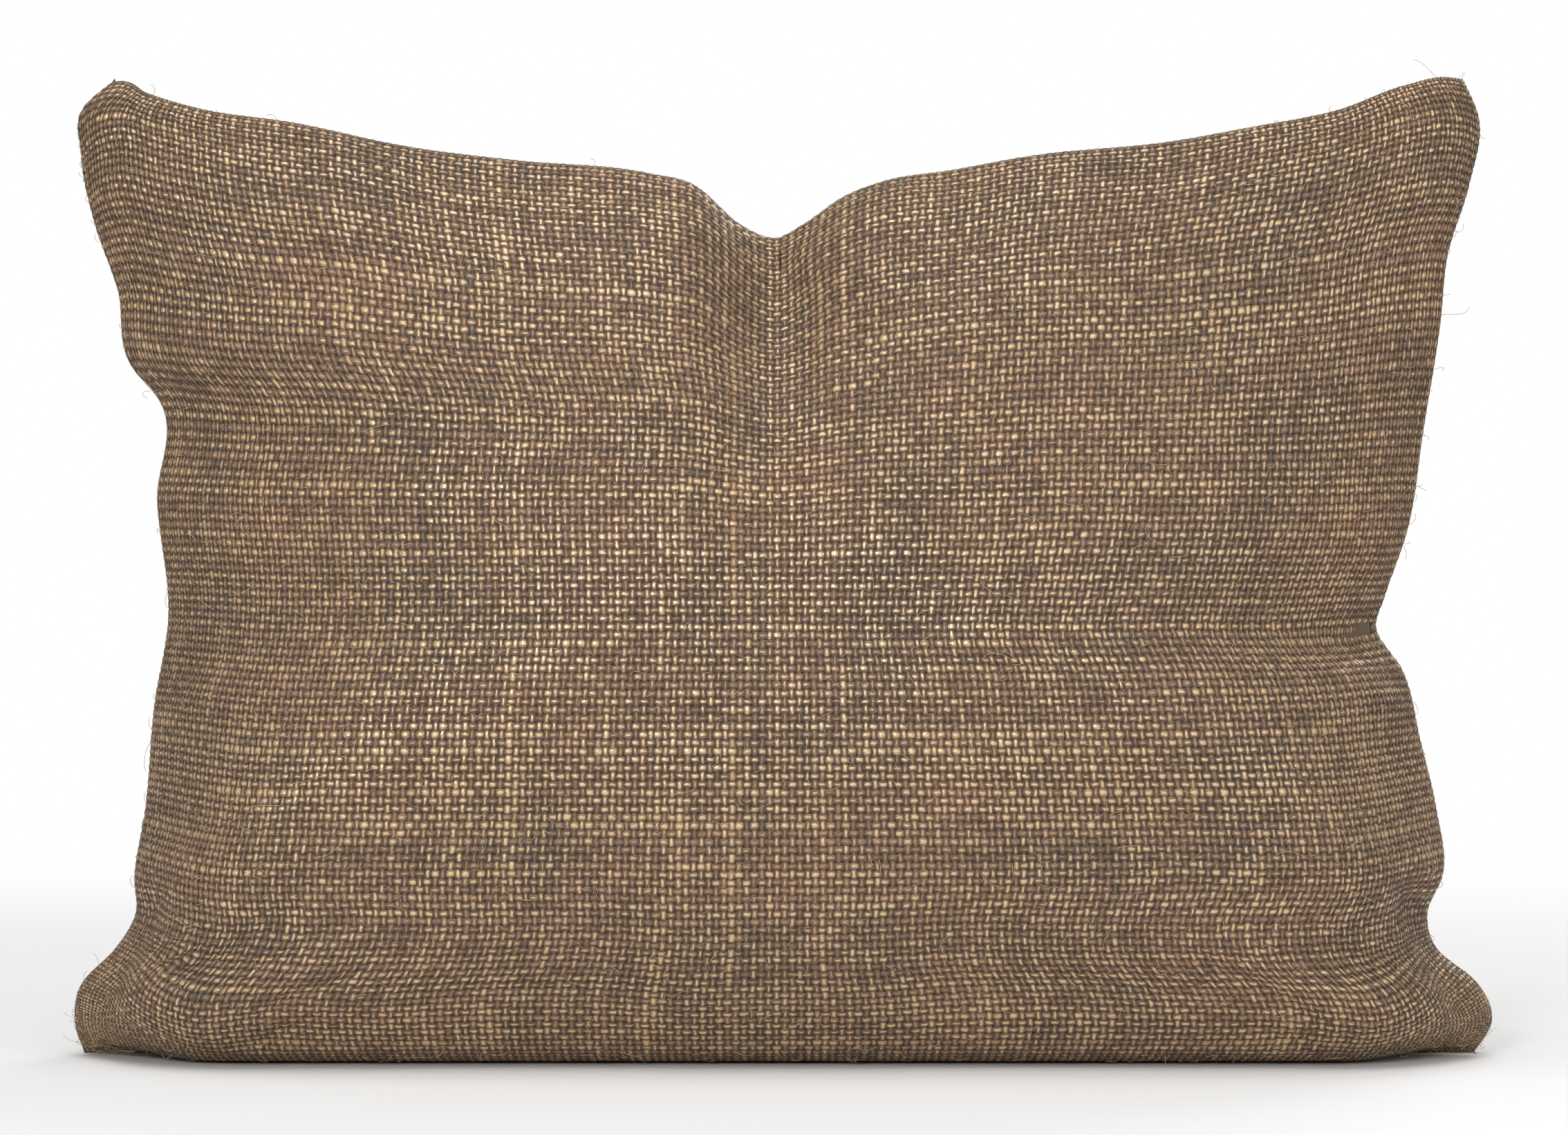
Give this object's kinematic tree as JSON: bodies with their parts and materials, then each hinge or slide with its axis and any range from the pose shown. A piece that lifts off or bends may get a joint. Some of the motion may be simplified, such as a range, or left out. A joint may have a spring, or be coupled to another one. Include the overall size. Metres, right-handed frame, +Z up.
{
  "type": "lumbar throw pillow",
  "caption": "Oblong stuffed throw pillow in coarse brown jute cloth, with a dented top edge, pointed corners, a lining, an insert and a zip low on the back.",
  "frame": {"origin": "on the floor under the middle of the pillow, at the centre of its footprint", "axes": "+X along the pillow's width, -Y out of its front, +Z up"},
  "size_m": [0.488, 0.14, 0.3359],
  "materials": {
    "jute_cloth": "coarse open plain weave, brown with golden tan thread crowns",
    "brown_cotton": "plain dull cotton",
    "white_cotton": "plain dull cotton",
    "polyester_fibre": "loose carded fibre",
    "brown_thread": "twisted polyester thread",
    "brown_tape": "herringbone woven tape",
    "brown_nylon": "moulded nylon filament, half gloss",
    "aged_brass": "aged, rubbed bright on the edges"
  },
  "bodies": {
    "pillow": {"cover_front_panel": "jute_cloth", "cover_back_panel": "jute_cloth", "lining_front_panel": "brown_cotton", "lining_back_panel": "brown_cotton", "insert_casing_front": "white_cotton", "insert_casing_back": "white_cotton", "insert_filling": "polyester_fibre", "cover_seam_thread": "brown_thread", "zip_tape_upper": "brown_tape", "zip_tape_lower": "brown_tape", "zip_coil_upper": "brown_nylon", "zip_coil_lower": "brown_nylon", "zip_top_stop_upper": "aged_brass", "zip_top_stop_lower": "aged_brass", "zip_bottom_stop": "aged_brass", "hem_stitching_upper": "brown_thread", "hem_stitching_lower": "brown_thread"},
    "zip_slider": {"zip_slider": "aged_brass"},
    "zip_pull": {"zip_pull": "aged_brass"}
  },
  "joints": [
    {"name": "zip_travel", "type": "slide", "parent": "pillow", "child": "zip_slider", "axis": [-1, 0, 0], "range_m": [0, 0.328]},
    {"name": "pull_swing", "type": "hinge", "parent": "zip_slider", "child": "zip_pull", "pos_m": [0.1645, 0.05781, 0.0327], "axis": [0, -0.2588, -0.9659], "range_deg": [0, 160]}
  ]
}
